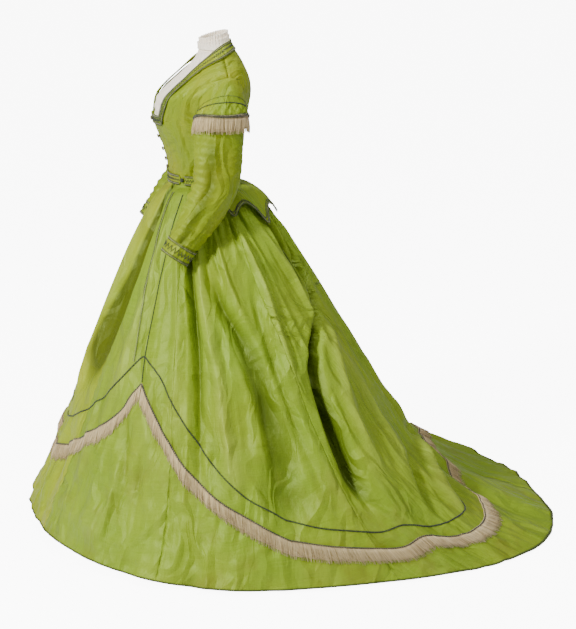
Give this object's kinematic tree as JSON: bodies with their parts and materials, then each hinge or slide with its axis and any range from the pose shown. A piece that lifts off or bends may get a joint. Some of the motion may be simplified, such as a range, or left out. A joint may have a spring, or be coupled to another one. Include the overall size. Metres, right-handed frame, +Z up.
{
  "type": "victorian dress",
  "caption": "Victorian day dress in green silk with a buttoned bodice, lace neck, fringed epaulettes, belt, pointed basque and a long trained skirt trimmed with braid and scalloped fringe",
  "frame": {"origin": "middle of the wearer's waist, at the height of the belt's middle", "axes": "+Z up the wearer's spine, -Y the way the wearer faces, +Y out along the train, +X the wearer's left"},
  "size_m": [1.3773, 1.5618, 1.4334],
  "materials": {
    "green_silk": "crisp silk taffeta with a soft sheen",
    "front_silk": "paler, yellower silk taffeta",
    "dark_braid": "matt dark green braid with grey-beige gimp",
    "button_silk": "olive silk over a domed mould",
    "fringe_thread": "loose silk thread, dull",
    "lace_thread": "cream cotton lace, matt"
  },
  "bodies": {
    "root": {"basque_left": "green_silk", "basque_right": "green_silk", "belt_back": "dark_braid", "belt_front": "dark_braid", "belt_knob_left": "dark_braid", "belt_knob_right": "dark_braid", "bodice_back_left": "green_silk", "bodice_back_right": "green_silk", "bodice_front_left": "green_silk", "bodice_front_right": "green_silk", "button_1": "button_silk", "button_2": "button_silk", "button_3": "button_silk", "button_4": "button_silk", "button_5": "button_silk", "cuff_band_left": "dark_braid", "cuff_band_right": "dark_braid", "epaulette_fringe_left": "fringe_thread", "epaulette_fringe_right": "fringe_thread", "epaulette_left": "green_silk", "epaulette_right": "green_silk", "lace_chest_fill": "lace_thread", "lace_collar": "lace_thread", "neck_band_left": "dark_braid", "neck_band_right": "dark_braid", "skirt_fringe_front": "fringe_thread", "skirt_fringe_left": "fringe_thread", "skirt_fringe_right": "fringe_thread", "skirt_front_braid_left": "dark_braid", "skirt_front_braid_right": "dark_braid", "skirt_front_gore": "front_silk", "skirt_scallop_braid_left": "dark_braid", "skirt_scallop_braid_right": "dark_braid", "skirt_side_braid_left": "dark_braid", "skirt_side_braid_right": "dark_braid", "skirt_side_front_gore_left": "green_silk", "skirt_side_front_gore_right": "green_silk", "skirt_side_gore_left": "green_silk", "skirt_side_gore_right": "green_silk", "skirt_train_gore_left": "green_silk", "skirt_train_gore_right": "green_silk", "sleeve_outer_left": "green_silk", "sleeve_outer_right": "green_silk", "sleeve_under_left": "green_silk", "sleeve_under_right": "green_silk"}
  },
  "joints": []
}
